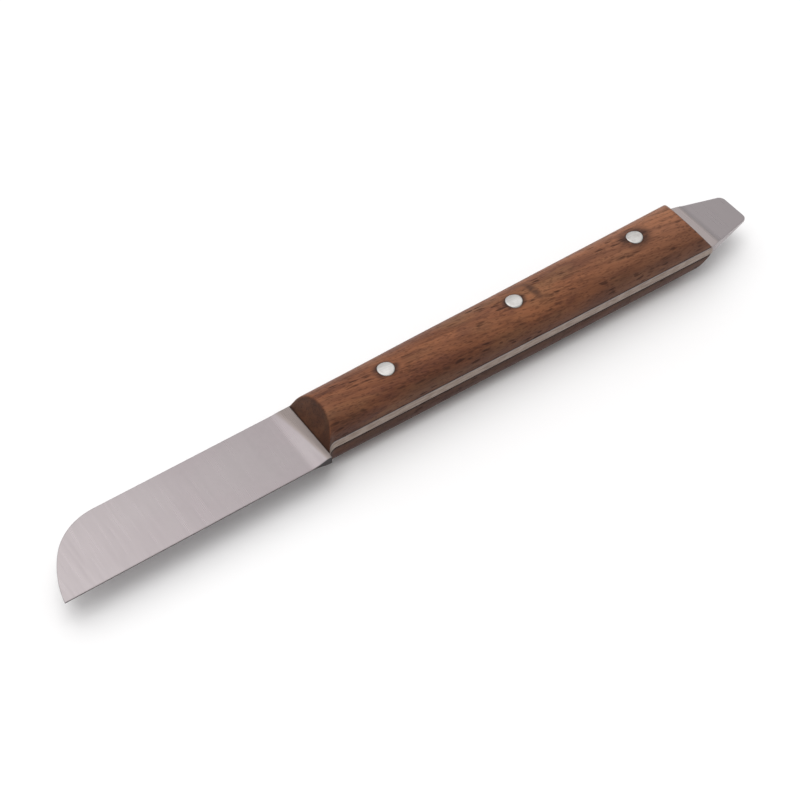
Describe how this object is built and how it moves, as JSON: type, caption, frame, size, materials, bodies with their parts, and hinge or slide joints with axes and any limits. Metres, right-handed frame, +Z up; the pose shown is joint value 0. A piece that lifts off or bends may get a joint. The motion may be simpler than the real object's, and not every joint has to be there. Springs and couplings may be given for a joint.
{
  "type": "bench knife",
  "caption": "Small full-tang bench knife with a straight edge, a round sheepsfoot nose, riveted wooden scales and a flat pry tip behind the handle.",
  "frame": {"origin": "on the surface the knife lies on, below the middle of its length and of the blade's width", "axes": "+X from the blade to the pry tip, +Y from the cutting edge to the spine, +Z up from the bench, square to the blade's cheek"},
  "size_m": [0.1744, 0.0162, 0.0163],
  "materials": {
    "blade_steel": "satin ground stainless steel, fine lines across the blade",
    "handle_wood": "oiled open-pored brown hardwood, grain along the handle",
    "rivet_metal": "ground flush and lightly polished"
  },
  "bodies": {
    "root": {"blade_and_tang": "blade_steel", "upper_scale": "handle_wood", "lower_scale": "handle_wood", "front_rivet": "rivet_metal", "middle_rivet": "rivet_metal", "rear_rivet": "rivet_metal"}
  },
  "joints": []
}
